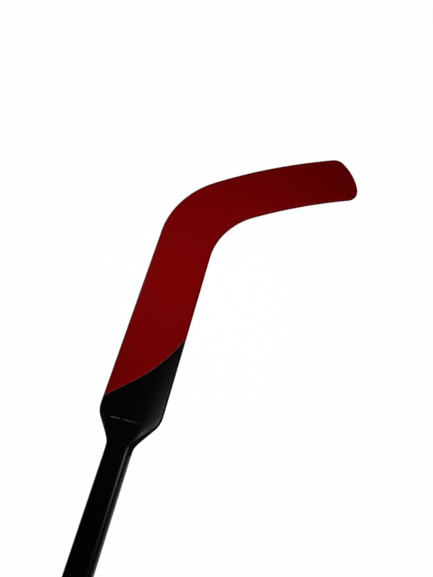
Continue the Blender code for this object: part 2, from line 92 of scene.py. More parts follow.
class StickSizes(bpy.types.PropertyGroup):
    """The plan and the thickness of the stick."""

    shaft_corner: FloatProperty(
        name="Shaft corner", description="Radius of the shaft's long corners", default=0.0045, **LENGTH
    )
    edge_corner: FloatProperty(
        name="Edge corner", description="Radius at the edges of paddle and blade", default=0.0006, **LENGTH
    )
    corner_eased: FloatProperty(
        name="Corner eased", description="Where the small corner radius is reached", default=0.052, **LENGTH
    )
    ridge: FloatProperty(
        name="Ridge", description="Half the width of the shoulder's flat middle", default=0.0180, **LENGTH
    )
    neck_power: FloatProperty(
        name="Neck power", description="How late the slope beside it steepens at the neck", default=4.5
    )
    paddle_power: FloatProperty(
        name="Paddle power", description="How late that slope steepens on the paddle", default=1.8
    )
    edge_eased: FloatProperty(
        name="Edge eased", description="Where the paddle edge's thickness is reached", default=0.060, **LENGTH
    )
    neck_radius: FloatProperty(
        name="Neck radius", description="Fillet between shaft and shoulder", default=0.015, **LENGTH
    )
    shoulder_radius: FloatProperty(
        name="Shoulder radius", description="Round of the shoulder", default=0.030, **LENGTH
    )
    shoulder_angle: FloatProperty(
        name="Shoulder angle", description="Slope of the shoulder", default=math.radians(40), **ANGLE
    )
    shoulder_corner: FloatProperty(
        name="Shoulder corner", description="Where the shoulder's slope meets the edge", default=0.0647, **LENGTH
    )
    straight_end: FloatProperty(
        name="Straight end", description="Where the ribs start to turn", default=0.300, **LENGTH
    )
    heel_start: FloatProperty(
        name="Heel start", description="Where the heel's curve starts", default=0.349, **LENGTH
    )
    heel_radius: FloatProperty(
        name="Heel radius", description="Radius of the heel", default=0.1124, **LENGTH
    )
    heel_turn: FloatProperty(
        name="Heel turn", description="Turn of the heel", default=math.radians(62.6), **ANGLE
    )
    elbow_start: FloatProperty(
        name="Elbow start", description="Where the elbow's curve starts", default=0.316, **LENGTH
    )
    elbow_radius: FloatProperty(
        name="Elbow radius", description="Radius of the elbow", default=0.0851, **LENGTH
    )
    elbow_turn: FloatProperty(
        name="Elbow turn", description="Turn of the elbow", default=math.radians(65.5), **ANGLE
    )
    sole_radius: FloatProperty(
        name="Sole radius", description="Rocker of the sole", default=0.5764, **LENGTH
    )
    sole_turn: FloatProperty(
        name="Sole turn", description="Turn of the sole", default=math.radians(18.8), **ANGLE
    )
    top_radius: FloatProperty(
        name="Top edge radius", description="Rocker of the blade's top edge", default=0.5506, **LENGTH
    )
    top_turn: FloatProperty(
        name="Top edge turn", description="Turn of the top edge", default=math.radians(14.77), **ANGLE
    )
    toe_sole_radius: FloatProperty(
        name="Toe sole radius", description="Round between sole and toe", default=0.0184, **LENGTH
    )
    toe_sole_turn: FloatProperty(
        name="Toe sole turn", description="Turn of that round", default=math.radians(62.3), **ANGLE
    )
    toe_top_radius: FloatProperty(
        name="Toe top radius", description="Round between top edge and toe", default=0.0133, **LENGTH
    )
    toe_top_turn: FloatProperty(
        name="Toe top turn", description="Turn of that round", default=math.radians(89.5), **ANGLE
    )
    toe_bulge: FloatProperty(
        name="Toe bulge", description="How far the toe bows out", default=0.0036, **LENGTH
    )
    paddle_edge: FloatProperty(
        name="Paddle edge", description="Thickness at the edge of the paddle", default=0.008, **LENGTH
    )
    heel_crest: FloatProperty(
        name="Heel crest", description="Thickness in the middle of the heel", default=0.011, **LENGTH
    )
    toe_crest: FloatProperty(
        name="Toe crest", description="Thickness in the middle of the toe", default=0.0078, **LENGTH
    )
    toe_edge: FloatProperty(
        name="Toe edge", description="Thickness at the edge of the toe", default=0.0068, **LENGTH
    )
    curl_start: FloatProperty(
        name="Curl start", description="Where the blade starts to curl", default=0.030, **LENGTH
    )
    curl_end: FloatProperty(
        name="Curl end", description="Where the curl reaches its rise", default=0.240, **LENGTH
    )
    curl_rise: FloatProperty(
        name="Curl rise", description="Rise of the toe towards the front", default=0.008, **LENGTH
    )
    break_start: FloatProperty(
        name="Break start", description="Colour break at the trailing edge", default=0.0825, **LENGTH
    )
    break_angle: FloatProperty(
        name="Break angle", description="Slope of the break at its start", default=math.radians(35.8), **ANGLE
    )
    break_lift: FloatProperty(
        name="Break lift", description="Extra rise of the break's curve", default=0.0331, **LENGTH
    )
    break_power: FloatProperty(
        name="Break power", description="How late the break steepens", default=4.7
    )
    stripe_width: FloatProperty(
        name="Stripe width", description="Width of the stripe on the break", default=0.0008, **LENGTH
    )
    skin: FloatProperty(
        name="Skin", description="Thickness of the laminate", default=0.0006, **LENGTH
    )
    shaft_wall: FloatProperty(
        name="Shaft wall", description="Thickness of the hollow shaft's wall", default=0.002, **LENGTH
    )
    joint: FloatProperty(
        name="Joint", description="Hairline between two shells", default=0.00003, **LENGTH
    )


class StickColours(bpy.types.PropertyGroup):
    """The colours of the finishes."""

    red: FloatVectorProperty(
        name="Red", description="Red lacquer", default=(0.150, 0.0006, 0.0010), **COLOUR
    )
    black: FloatVectorProperty(
        name="Black", description="Black lacquer", default=(0.0003, 0.0003, 0.0005), **COLOUR
    )
    stripe: FloatVectorProperty(
        name="Stripe", description="Grey of the stripe", default=(0.034, 0.033, 0.038), **COLOUR
    )
    # The shoulder line's light grey is a painted glint where the shaft's ridge ends on the shoulder.
    line: FloatVectorProperty(
        name="Line", description="Grey of the shoulder's fine line", default=(0.150, 0.145, 0.150), **COLOUR
    )
    plastic: FloatVectorProperty(
        name="Plastic", description="Moulded butt cap", default=(0.0040, 0.0040, 0.0048), **COLOUR
    )
    spruce: FloatVectorProperty(
        name="Spruce", description="Spars", default=(0.55, 0.38, 0.20), **COLOUR
    )
    birch: FloatVectorProperty(
        name="Birch", description="Heel block", default=(0.62, 0.46, 0.28), **COLOUR
    )
    foam: FloatVectorProperty(
        name="Foam", description="Cores", default=(0.72, 0.68, 0.52), **COLOUR
    )


class StudioSettings(bpy.types.PropertyGroup):
    """The floor, the lamps and the camera."""

    floor: FloatVectorProperty(
        name="Floor", description="Colour of the floor", default=(0.60, 0.60, 0.60), **COLOUR
    )
    floor_glow: FloatProperty(
        name="Floor glow", description="How much of the floor's white is free of shadow", default=0.985
    )
    world: FloatProperty(
        name="World", description="Strength of the room's own light", default=0.003
    )
    toe_side: FloatProperty(
        name="Toe side", description="Power of the softbox on the toe side, in watts", default=0.14
    )
    overhead: FloatProperty(
        name="Overhead", description="Power of the lamp over the paddle, in watts", default=1.70
    )
    near_side: FloatProperty(
        name="Near side", description="Power of the lamp aimed at the blade, in watts", default=0.12
    )
    far_side: FloatProperty(
        name="Far side", description="Power of the lamp beyond the heel, in watts", default=0.12
    )
    lens: FloatProperty(
        name="Lens", description="Focal length on a 36 mm film", default=28.08, unit="CAMERA"
    )


# Outline


def mix(first, second, share):
    """The value that lies that share of the way from first to second."""
    return first + (second - first) * share


def ease(value, start, end):
    """0 before start, 1 after end, and a smooth rise between them."""
    share = min(max((value - start) / (end - start), 0.0), 1.0)
    return share * share * (3 - 2 * share)


def bend(radius, turn, steps):
    """A round stretch of an edge. A positive turn is to the left."""
    return radius * abs(turn), turn, steps


def walk(start, stretches):
    """The points of an edge that sets out towards the heel, and the index where each stretch ends."""
    point = Vector(start)
    heading = math.pi / 2
    points = [point.copy()]
    ends = []
    for length, turn, steps in stretches:
        chord = length / steps
        half_turn = turn / steps / 2
        if turn:
            chord *= math.sin(abs(half_turn)) / abs(half_turn)
        for _ in range(steps):
            heading += half_turn
            point = point + chord * Vector((math.cos(heading), math.sin(heading)))
            heading += half_turn
            points.append(point)
        ends.append(len(points) - 1)
    return points, ends


def shoulder_stretches(sizes, side):
    """The neck, the slope and the round of the shoulder, on the leading (1) or trailing (-1) edge."""
    angle = sizes.shoulder_angle
    neck_tangent = sizes.neck_radius * math.tan(angle / 2)
    shoulder_tangent = sizes.shoulder_radius * math.tan(angle / 2)
    widening = HALF_PADDLE - HALF_SHAFT
    slope_start = sizes.shoulder_corner - widening / math.tan(angle)
    slope = widening / math.sin(angle) - neck_tangent - shoulder_tangent
    return [
        (slope_start - neck_tangent - NECK_Y, 0.0, 3),
        bend(sizes.neck_radius, -side * angle, 10),
        (slope, 0.0, 6),
        bend(sizes.shoulder_radius, side * angle, 12),
        (sizes.straight_end - sizes.shoulder_corner - shoulder_tangent, 0.0, 10),
    ]


class Rib:
    """A line across the stick in plan, with the stick's thickness along it."""

    def __init__(self, trailing, leading, travel):
        self.middle = (trailing + leading) / 2
        self.half = (leading - trailing).length / 2
        self.across = (leading - trailing).normalized()
        self.ahead = Vector((-self.across.y, self.across.x))
        self.travel = travel
        self.bulge = 0.0
        self.cut = 0.0
        self.row_y = None

    def final_y(self, offset):
        """Where the point at an offset ends up along the paddle once its row is slanted."""
        return self.row_y(offset) if self.row_y else self.middle.y


class Stick:
    """The ribs of the whole stick and the rules for its thickness."""

    def __init__(self, sizes):
        self.sizes = sizes
        trailing, ends = walk(
            (-HALF_SHAFT, NECK_Y),
            shoulder_stretches(sizes, -1)
            + [
                (sizes.heel_start - sizes.straight_end, 0.0, 4),
                bend(sizes.heel_radius, -sizes.heel_turn, 32),
                bend(sizes.sole_radius, -sizes.sole_turn, 20),
                bend(sizes.toe_sole_radius, -sizes.toe_sole_turn, 12),
            ],
        )
        leading, _ = walk(
            (HALF_SHAFT, NECK_Y),
            shoulder_stretches(sizes, 1)
            + [
                (sizes.elbow_start - sizes.straight_end, 0.0, 4),
                bend(sizes.elbow_radius, -sizes.elbow_turn, 32),
                bend(sizes.top_radius, -sizes.top_turn, 20),
                bend(sizes.toe_top_radius, sizes.toe_top_turn, 12),
            ],
        )
        self.ribs = []
        travel = 0.0
        for left, right in zip(trailing, leading):
            if self.ribs:
                travel += ((left + right) / 2 - self.ribs[-1].middle).length
            self.ribs.append(Rib(left, right, travel))
        self.shoulder, self.paddle, _, heel, self.toe, self.tip = ends[3:]
        self.shoulder_travel = self.ribs[self.shoulder].travel
        self.blade_travel = self.ribs[heel].travel
        self.tip_travel = self.ribs[self.tip].travel
        for index in range(self.toe, self.tip + 1):
            self.ribs[index].bulge = sizes.toe_bulge * ease(index, self.toe, self.tip)

    def edge(self, travel):
        """Half the thickness at the edges."""
        sizes = self.sizes
        thinning = ease(travel, 0.0, sizes.edge_eased - NECK_Y)
        paddle = mix(SHAFT_THICKNESS, sizes.paddle_edge, thinning)
        return mix(paddle, sizes.toe_edge, ease(travel, self.blade_travel, self.tip_travel)) / 2

    def crest(self, travel):
        """Half the thickness in the middle."""
        sizes = self.sizes
        thinning = ease(travel, self.shoulder_travel, self.blade_travel)
        paddle = mix(SHAFT_THICKNESS, sizes.heel_crest, thinning)
        return mix(paddle, sizes.toe_crest, ease(travel, self.blade_travel, self.tip_travel)) / 2

    def corner(self, travel):
        """Radius between the faces and the edges."""
        sizes = self.sizes
        shrinking = ease(travel, 0.0, sizes.corner_eased - NECK_Y)
        return mix(sizes.shaft_corner, sizes.edge_corner, shrinking)

    def crown(self, rib, offset):
        """How far the face stands proud of the edge: a flat middle, with a slope on each side."""
        sizes = self.sizes
        travel = rib.travel
        if rib.row_y:
            travel = rib.final_y(offset) - NECK_Y
        widening = ease(travel, 0.0, sizes.edge_eased - NECK_Y)
        slope = min(rib.half - sizes.ridge, (HALF_PADDLE - sizes.ridge) * widening)
        share = max(abs(offset) - rib.half + slope, 0.0) / max(slope, 0.0001)
        power = mix(sizes.neck_power, sizes.paddle_power, widening)
        return (self.crest(travel) - self.edge(travel)) * (1 - min(share, 1.0) ** power)

    def curl(self, x):
        """The share of the curl's rise at a distance towards the toe."""
        run = (x - self.sizes.curl_start) / (self.sizes.curl_end - self.sizes.curl_start)
        return min(max(run, 0.0) ** 2, 1.0)

    def break_rise(self, x):
        """How far the colour break has climbed at a distance across the paddle."""
        run = max(x + HALF_PADDLE, 0.0)
        steep = (run / (2 * HALF_PADDLE)) ** self.sizes.break_power
        return math.tan(self.sizes.break_angle) * run + self.sizes.break_lift * steep

    def break_y(self, x, past=0.0):
        """Where the break runs, or a line at a distance past it."""
        step = 0.0001
        slope = (self.break_rise(x + step) - self.break_rise(x)) / step
        return self.sizes.break_start + self.break_rise(x) + past * math.hypot(1, slope)

    def slanted(self, past, far_y, share):
        """A rib of the paddle that follows the break, or a share of the way from it to far_y."""

        def row_y(x):
            return mix(self.break_y(x, past), far_y, share)

        start = row_y(-HALF_PADDLE)
        rib = Rib(Vector((-HALF_PADDLE, start)), Vector((HALF_PADDLE, start)), start - NECK_Y)
        rib.row_y = row_y
        return rib

    def toe_end(self):
        """The ribs of the rounding at the end of the toe, which thins out and narrows a little."""
        corner = self.sizes.edge_corner
        tip = self.ribs[self.tip]
        reach = tip.half * tip.across
        steps = 5
        ribs = []
        for step in range(1, steps + 1):
            angle = step / steps * math.pi / 2
            rib = Rib(tip.middle - reach, tip.middle + reach, tip.travel)
            rib.cut = corner * (1 - math.cos(angle))
            rib.half = tip.half - rib.cut / 2
            rib.middle = tip.middle + corner * (math.sin(angle) - 1) * tip.ahead
            rib.bulge = tip.bulge
            ribs.append(rib)
        return ribs


# Modelling with operators


def new_piece(name):
    """An empty mesh object at the origin, active and in edit mode."""
    if bpy.context.object and bpy.context.object.mode != "OBJECT":
        bpy.ops.object.mode_set(mode="OBJECT")
    bpy.ops.object.select_all(action="DESELECT")
    bpy.ops.mesh.primitive_plane_add(size=0.01)
    piece = bpy.context.object
    piece.name = name
    piece.data.name = name
    bpy.ops.object.mode_set(mode="EDIT")
    bpy.ops.mesh.select_mode(type="VERT")
    bpy.ops.mesh.select_all(action="SELECT")
    bpy.ops.mesh.delete(type="VERT")
    mesh = bmesh.from_edit_mesh(piece.data)
    mesh.verts.layers.int.new("rib")
    mesh.verts.layers.float.new("offset")
    return piece


def add_section(piece, stick, rib, number, columns=31, segments=5):
    """Add the rounded outline of one section, standing across the stick on its rib."""
    centre = Vector((rib.middle.x, rib.middle.y, MID_PLANE))
    half_height = stick.edge(rib.travel) - rib.cut
    corner = min(stick.corner(rib.travel), half_height * CORNER_LIMIT)
    turn = math.atan2(rib.across.y, rib.across.x)
    bpy.ops.mesh.select_all(action="DESELECT")
    bpy.ops.mesh.primitive_plane_add(size=1.0, location=centre, rotation=(math.pi / 2, 0.0, 0.0))
    bpy.ops.transform.resize(value=(2 * rib.half, 1.0, 2 * half_height), center_override=centre)
    bpy.ops.mesh.bevel(offset=corner, affect="VERTICES", segments=segments)
    bpy.ops.mesh.delete(type="ONLY_FACE")
    mesh = bmesh.from_edit_mesh(piece.data)
    rib_layer = mesh.verts.layers.int["rib"]
    for edge in mesh.edges:
        first, second = edge.verts
        if first[rib_layer] == 0 and abs(first.co.z - second.co.z) < 1e-6:
            edge.select = edge.calc_length() > rib.half
    mesh.select_flush_mode()
    bmesh.update_edit_mesh(piece.data)
    bpy.ops.mesh.subdivide(number_cuts=columns)
    bpy.ops.mesh.select_all(action="DESELECT")
    mesh = bmesh.from_edit_mesh(piece.data)
    rib_layer = mesh.verts.layers.int["rib"]
    offset_layer = mesh.verts.layers.float["offset"]
    for vert in mesh.verts:
        if vert[rib_layer] == 0:
            vert[rib_layer] = number + 1
            vert[offset_layer] = vert.co.x - rib.middle.x
            vert.select = True
    mesh.select_flush_mode()
    bmesh.update_edit_mesh(piece.data)
    if abs(turn) > 1e-6:
        bpy.ops.transform.rotate(value=-turn, orient_axis="Z", center_override=centre)


def apply_modifiers(piece):
    """Apply the piece's modifiers in their order."""
    for name in [modifier.name for modifier in piece.modifiers]:
        bpy.ops.object.modifier_apply(modifier=name)


def push(piece, group, direction, strength):
    """Move the points of a vertex group along an axis, by its weights times strength."""
    if abs(strength) < 1e-9:
        return
    modifier = piece.modifiers.new(group, "DISPLACE")
    modifier.vertex_group = group
    modifier.direction = direction
    modifier.strength = strength
    modifier.mid_level = 0.0


def weigh(piece, stick, ribs):
    """Give each point its weights for slant, bulge, crown and curl, from its rib and offset."""
    rib_numbers = [item.value for item in piece.data.attributes["rib"].data]
    offsets = [item.value for item in piece.data.attributes["offset"].data]
    names = ("slant", "bulge", "crown_front", "crown_back", "curl")
    groups = {name: piece.vertex_groups.new(name=name) for name in names}
    full_bulge = max(stick.sizes.toe_bulge, 1e-6)
    for vert in piece.data.vertices:
        rib = ribs[rib_numbers[vert.index] - 1]
        offset = offsets[vert.index]
        bulge = (1 - (offset / rib.half) ** 2) * rib.bulge
        side = "crown_front" if vert.co.z > MID_PLANE else "crown_back"
        weights = {
            "slant": (rib.final_y(offset) - rib.middle.y) / SLANT_REACH,
            "bulge": bulge / full_bulge,
            side: stick.crown(rib, offset) / CROWN_REACH,
            "curl": stick.curl(vert.co.x + bulge * rib.ahead.x),
        }
        for name, weight in weights.items():
            groups[name].add([vert.index], weight, "REPLACE")


def model_shell(name, stick, ribs, closed_end=False, wall=None):
    """A laminate shell through the sections on ribs."""
    piece = new_piece(name)
    for number, rib in enumerate(ribs):
        add_section(piece, stick, rib, number)
    bpy.ops.mesh.select_all(action="SELECT")
    bpy.ops.mesh.bridge_edge_loops()
    if closed_end:
        close_toe(piece, len(ribs))
    bpy.ops.mesh.select_all(action="SELECT")
    bpy.ops.mesh.normals_make_consistent(inside=False)
    bpy.ops.object.mode_set(mode="OBJECT")
    weigh(piece, stick, ribs)
    tip_ahead = ribs[-1].ahead
    push(piece, "slant", "Y", SLANT_REACH)
    push(piece, "bulge", "X", stick.sizes.toe_bulge * tip_ahead.x)
    push(piece, "bulge", "Y", stick.sizes.toe_bulge * tip_ahead.y)
    push(piece, "crown_front", "Z", CROWN_REACH)
    push(piece, "crown_back", "Z", -CROWN_REACH)
    push(piece, "curl", "Z", stick.sizes.curl_rise)
    shell = piece.modifiers.new("laminate", "SOLIDIFY")
    shell.thickness = wall or stick.sizes.skin
    shell.offset = -1.0
    apply_modifiers(piece)
    piece.vertex_groups.clear()
    bpy.ops.object.shade_smooth_by_angle(angle=SMOOTH_ANGLE)
    return piece


def close_toe(piece, number):
    """Draw the last section's points together at half its height and merge them into the toe's end."""
    mesh = bmesh.from_edit_mesh(piece.data)
    rib_layer = mesh.verts.layers.int["rib"]
    bpy.ops.mesh.select_all(action="DESELECT")
    for edge in mesh.edges:
        if all(vert[rib_layer] == number for vert in edge.verts):
            edge.select = True
    mesh.select_flush_mode()
    bmesh.update_edit_mesh(piece.data)
    bpy.ops.mesh.extrude_region_move()
    bpy.ops.transform.resize(value=(1.0, 1.0, 0.0), center_override=(0.0, 0.0, MID_PLANE))
    bpy.ops.mesh.remove_doubles(threshold=0.00002)


# Finishes


def node(tree, kind, **values):
    """A new shader node. A value named in_NAME or in_NUMBER sets an input, another one a property."""
    made = tree.nodes.new(kind)
    for key, value in values.items():
        if key.startswith("in_"):
            socket = key[3:].replace("_", " ")
            made.inputs[int(socket) if socket.isdigit() else socket].default_value = value
        else:
            setattr(made, key, value)
    return made


def new_group(name, inputs, outputs):
    """An empty node group with those sockets and their kinds, and its input and output nodes."""
    group = bpy.data.node_groups.new(name, "ShaderNodeTree")
    for in_out, sockets in (("INPUT", inputs), ("OUTPUT", outputs)):
        for socket, kind in sockets.items():
            group.interface.new_socket(name=socket, in_out=in_out, socket_type="NodeSocket" + kind)
    return group, node(group, "NodeGroupInput"), node(group, "NodeGroupOutput")


def sprayed_lacquer_group():
    """Orange peel, cloudy thickness and fine rubbing marks of a sprayed lacquer."""
    group, given, out = new_group(
        "sprayed_lacquer",
        {"Vector": "Vector", "Colour": "Color", "Roughness": "Float", "Cloudiness": "Float"},
        {"Colour": "Color", "Roughness": "Float", "Height": "Float"},
    )
    link = group.links.new
    cloud = node(group, "ShaderNodeTexNoise", in_Scale=22.0, in_Detail=3.0, in_Roughness=0.5)
    peel = node(group, "ShaderNodeTexNoise", in_Scale=620.0, in_Detail=2.0, in_Roughness=0.45)
    along = node(group, "ShaderNodeMapping", in_Scale=(260.0, 24.0, 260.0))
    rub = node(group, "ShaderNodeTexNoise", in_Scale=6.0, in_Detail=4.0, in_Roughness=0.6)
    for placed in (cloud, peel, along):
        link(given.outputs["Vector"], placed.inputs["Vector"])
    link(along.outputs["Vector"], rub.inputs["Vector"])

    centred = node(group, "ShaderNodeMath", operation="SUBTRACT", in_1=0.5)
    depth = node(group, "ShaderNodeMath", operation="MULTIPLY")
    gain = node(group, "ShaderNodeMath", operation="ADD", in_1=1.0)
    tint = node(group, "ShaderNodeVectorMath", operation="SCALE")
    link(cloud.outputs["Fac"], centred.inputs[0])
    link(centred.outputs[0], depth.inputs[0])
    link(given.outputs["Cloudiness"], depth.inputs[1])
    link(depth.outputs[0], gain.inputs[0])
    link(given.outputs["Colour"], tint.inputs[0])
    link(gain.outputs[0], tint.inputs["Scale"])
    link(tint.outputs[0], out.inputs["Colour"])

    marks = node(group, "ShaderNodeMapRange", in_1=0.35, in_2=0.75, in_3=-0.03, in_4=0.05)
    sheen = node(group, "ShaderNodeMath", operation="ADD")
    link(rub.outputs["Fac"], marks.inputs[0])
    link(given.outputs["Roughness"], sheen.inputs[0])
    link(marks.outputs[0], sheen.inputs[1])
    link(sheen.outputs[0], out.inputs["Roughness"])
    link(peel.outputs["Fac"], out.inputs["Height"])
    return group


def timber_group():
    """Straight grain along the stick, with growth rings and fine pores."""
    group, given, out = new_group(
        "timber_grain",
        {"Vector": "Vector", "Early wood": "Color", "Late wood": "Color"},
        {"Colour": "Color", "Height": "Float"},
    )
    link = group.links.new
    along = node(group, "ShaderNodeMapping", in_Scale=(1.0, 0.06, 1.0))
    rings = node(
        group, "ShaderNodeTexWave", wave_type="RINGS", in_Scale=38.0, in_Distortion=5.0, in_Detail=3.0
    )
    pores = node(group, "ShaderNodeTexNoise", in_Scale=900.0, in_Detail=2.0)
    link(given.outputs["Vector"], along.inputs["Vector"])
    link(along.outputs["Vector"], rings.inputs["Vector"])
    link(along.outputs["Vector"], pores.inputs["Vector"])
    colour = node(group, "ShaderNodeMix", data_type="RGBA")
    link(rings.outputs["Fac"], colour.inputs["Factor"])
    link(given.outputs["Early wood"], colour.inputs[6])
    link(given.outputs["Late wood"], colour.inputs[7])
    link(colour.outputs[2], out.inputs["Colour"])
    link(pores.outputs["Fac"], out.inputs["Height"])
    return group


def new_finish(name, roughness, **shine):
    """A material with its tree, its Principled shader and the object's own coordinates."""
    material = bpy.data.materials.new(name)
    material.use_nodes = True
    tree = material.node_tree
    shader = tree.nodes["Principled BSDF"]
    shader.inputs["Roughness"].default_value = roughness
    for socket, value in shine.items():
        shader.inputs[socket.replace("_", " ")].default_value = value
    place = node(tree, "ShaderNodeTexCoord")
    return material, tree, shader, place.outputs["Object"]


def add_bump(tree, shader, height, distance):
    """Feed a height into the shader's normal."""
    bump = node(tree, "ShaderNodeBump", in_Strength=1.0, in_Distance=distance)
    tree.links.new(height, bump.inputs["Height"])
    tree.links.new(bump.outputs["Normal"], shader.inputs["Normal"])


def lacquer(name, colour, roughness, cloudiness, peel, **shine):
    """A sprayed lacquer in a colour."""
    material, tree, shader, place = new_finish(name, roughness, **shine)
    group = bpy.data.node_groups.get("sprayed_lacquer") or sprayed_lacquer_group()
    spray = node(tree, "ShaderNodeGroup", node_tree=group)
    spray.inputs["Colour"].default_value = (*colour, 1.0)
    spray.inputs["Roughness"].default_value = roughness
    spray.inputs["Cloudiness"].default_value = cloudiness
    tree.links.new(place, spray.inputs["Vector"])
    tree.links.new(spray.outputs["Colour"], shader.inputs["Base Color"])
    tree.links.new(spray.outputs["Roughness"], shader.inputs["Roughness"])
    add_bump(tree, shader, spray.outputs["Height"], peel)
    return material


def timber(name, colour):
    """Planed wood with its grain along the stick."""
    material, tree, shader, place = new_finish(name, 0.65)
    group = bpy.data.node_groups.get("timber_grain") or timber_group()
    grain = node(tree, "ShaderNodeGroup", node_tree=group)
    grain.inputs["Early wood"].default_value = (*colour, 1.0)
    grain.inputs["Late wood"].default_value = (*[0.62 * value for value in colour], 1.0)
    tree.links.new(place, grain.inputs["Vector"])
    tree.links.new(grain.outputs["Colour"], shader.inputs["Base Color"])
    add_bump(tree, shader, grain.outputs["Height"], 0.0001)
    return material


def two_tone(name, colour, kind, output, roughness, second_tone, depth, **texture_values):
    """A material in two tones of a colour, with bumps, both from one texture."""
    material, tree, shader, place = new_finish(name, roughness)
    texture = node(tree, kind, **texture_values)
    tones = node(tree, "ShaderNodeMix", data_type="RGBA", in_6=(*colour, 1.0))
    tones.inputs[7].default_value = (*[second_tone * value for value in colour], 1.0)
    tree.links.new(place, texture.inputs["Vector"])
    tree.links.new(texture.outputs[output], tones.inputs["Factor"])
    tree.links.new(tones.outputs[2], shader.inputs["Base Color"])
    add_bump(tree, shader, texture.outputs[output], depth)
    return material


def rigid_foam(name, colour):
    """Closed-cell foam: small cells, darker between them."""
    look = {"roughness": 0.9, "second_tone": 0.72, "depth": 0.0002}
    return two_tone(name, colour, "ShaderNodeTexVoronoi", "Distance", in_Scale=900.0, **look)


def moulded_plastic(name, colour):
    """Spark-textured moulded plastic."""
    look = {"roughness": 0.5, "second_tone": 1.6, "depth": 0.00008}
    return two_tone(
        name, colour, "ShaderNodeTexNoise", "Fac", in_Scale=1400.0, in_Detail=3.0, **look
    )


def paint(piece, material):
    """Give a piece that one material."""
    piece.data.materials.clear()
    piece.data.materials.append(material)


def hand_over(piece, material, slot, *nodes):
    """Finish a piece: its material, the nodes that it stands for and the body it rides on; the slot is not used.
    """
    paint(piece, material)
    if nodes:
        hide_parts(*nodes)
    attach(piece, "root")


def black_lacquer():
    """The black lacquer, made once."""
    made = bpy.data.materials.get("black_lacquer")
    return made or lacquer(
        "black_lacquer",
        bpy.context.scene.stick_colours.black,
        roughness=0.45,
        cloudiness=0.10,
        peel=0.000012,
        Specular_IOR_Level=0.40,
        Coat_Weight=0.30,
        Coat_Roughness=0.30,
    )


def ink_and_glint_paint(name, colour):
    """Printed ink for the stripe, and the same paint for the shoulder line's painted glint: thinner than the
    lacquer, and cloudier.
    """
    return lacquer(name, colour, roughness=0.45, cloudiness=0.20, peel=0.000008)


# Operators


class STICK_OT_shaft(bpy.types.Operator):
    """Model the hollow shaft with its rounded corners"""

    bl_idname = "goalie_stick.shaft"
    bl_label = "Shaft"

    def execute(self, context):
        stick = Stick(context.scene.stick_sizes)
        rows = 24
        ribs = []
        for step in range(rows + 1):
            y = mix(SHAFT_LOW.y, NECK_Y - stick.sizes.joint, step / rows)
            ribs.append(Rib(Vector((-HALF_SHAFT, y)), Vector((HALF_SHAFT, y)), 0.0))
        shaft = model_shell("shaft", stick, ribs, wall=stick.sizes.shaft_wall)
        hand_over(shaft, black_lacquer(), "black_paint", "shaft_tube")
        return {"FINISHED"}


class STICK_OT_butt_cap(bpy.types.Operator):
    """Model the cap in the butt, with its flange and spigot"""

    bl_idname = "goalie_stick.butt_cap"
    bl_label = "Butt cap"

    flange: FloatProperty(
        name="Flange", description="Thickness of the flange", default=0.006, **LENGTH
    )
    clearance: FloatProperty(
        name="Clearance", description="Gap between the spigot and the shaft's wall", default=0.0003, **LENGTH
    )
    rounding: FloatProperty(
        name="Rounding", description="Radius around the flange's end", default=0.0015, **LENGTH
    )

    # How much the spigot's end is drawn in along each axis.
    SPIGOT_TAPER = (0.97, 1.0, 0.96)

    def execute(self, context):
        sizes = context.scene.stick_sizes
        cap = new_piece("butt_cap_cover")
        middle = Vector((0.0, CAP_LOW.y + self.flange / 2, MID_PLANE))
        bpy.ops.mesh.primitive_cube_add(size=1.0, location=middle)
        bpy.ops.transform.resize(
            value=(2 * HALF_SHAFT, self.flange, SHAFT_THICKNESS), center_override=middle
        )
        self.pick(cap, "EDGE", self.runs_along)
        bpy.ops.mesh.bevel(offset=sizes.shaft_corner, affect="EDGES", segments=8)
        self.pick(cap, "FACE", lambda face: face.normal.y > 0.9)
        bpy.ops.mesh.inset(thickness=sizes.shaft_wall + self.clearance)
        bpy.ops.mesh.extrude_region_move(
            TRANSFORM_OT_translate={"value": (0.0, CAP_HIGH.y - CAP_LOW.y - self.flange, 0.0)}
        )
        spigot_end = (0.0, CAP_HIGH.y, MID_PLANE)
        bpy.ops.transform.resize(value=self.SPIGOT_TAPER, center_override=spigot_end)
        self.pick(cap, "FACE", lambda face: face.normal.y < -0.9)
        bpy.ops.mesh.bevel(offset=self.rounding, affect="EDGES", segments=4)
        bpy.ops.object.mode_set(mode="OBJECT")
        bpy.ops.object.shade_smooth_by_angle(angle=SMOOTH_ANGLE)
        colours = context.scene.stick_colours
        hand_over(cap, moulded_plastic("moulded_cap", colours.plastic), "black_plastic", "butt_cap")
        return {"FINISHED"}

    @staticmethod
    def runs_along(edge):
        """Whether an edge runs along the stick."""
        first, second = edge.verts
        return abs(first.co.y - second.co.y) > 0.9 * edge.calc_length()

    @staticmethod
    def pick(piece, mode, wanted):
        """Select the wanted edges or faces, and nothing else."""
        bpy.ops.mesh.select_mode(type=mode)
        bpy.ops.mesh.select_all(action="DESELECT")
        mesh = bmesh.from_edit_mesh(piece.data)
        mesh.normal_update()
        for part in mesh.edges if mode == "EDGE" else mesh.faces:
            if wanted(part):
                part.select = True
        mesh.select_flush_mode()
        bmesh.update_edit_mesh(piece.data)


class STICK_OT_shoulder(bpy.types.Operator):
    """Model the black shell from the neck to the colour break"""

    bl_idname = "goalie_stick.shoulder"
    bl_label = "Shoulder"

    def execute(self, context):
        stick = Stick(context.scene.stick_sizes)
        past = -stick.sizes.stripe_width / 2 - stick.sizes.joint
        ribs = stick.ribs[: stick.shoulder + 1]
        far_y = ribs[-1].middle.y
        rows = 12
        ribs += [stick.slanted(past, far_y, 1 - step / rows) for step in range(1, rows + 1)]
        shell = model_shell("shoulder_shell", stick, ribs)
        hand_over(
            shell,
            black_lacquer(),
            "black_paint",
            "front_shoulder_skin",
            "back_shoulder_skin",
            "leading_shoulder_cheek",
            "trailing_shoulder_cheek",
            "leading_black_strip",
        )
        return {"FINISHED"}


